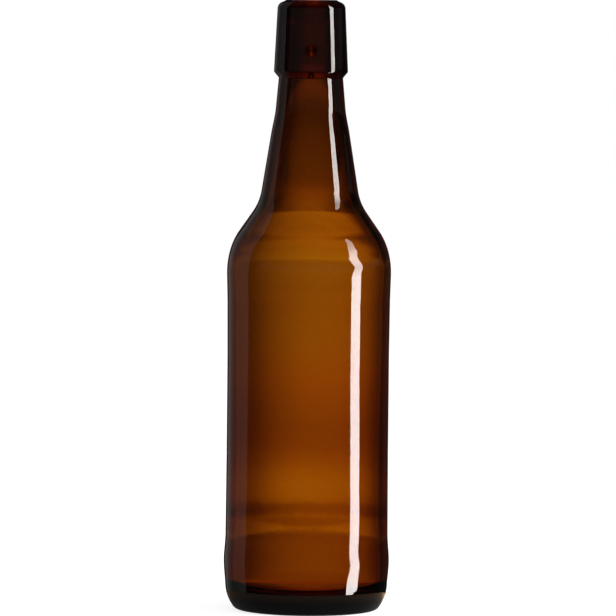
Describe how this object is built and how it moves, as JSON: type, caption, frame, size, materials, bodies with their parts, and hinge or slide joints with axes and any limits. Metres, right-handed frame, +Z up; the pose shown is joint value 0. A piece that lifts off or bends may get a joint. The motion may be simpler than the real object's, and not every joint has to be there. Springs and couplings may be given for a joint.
{
  "type": "swing-top beer bottle",
  "caption": "Empty amber glass bottle with a cylindrical body, long tapered neck and a heavy collar with bail sockets for a swing-top closure.",
  "frame": {"origin": "centre of the bearing plane, where the bottle stands", "axes": "+Z up along the bottle's axis, -Y towards the front bail socket, +Y towards the back one"},
  "size_m": [0.0704, 0.0704, 0.26],
  "materials": {
    "amber_glass": "polished amber-brown container glass"
  },
  "bodies": {
    "root": {"bottle": "amber_glass"}
  },
  "joints": []
}
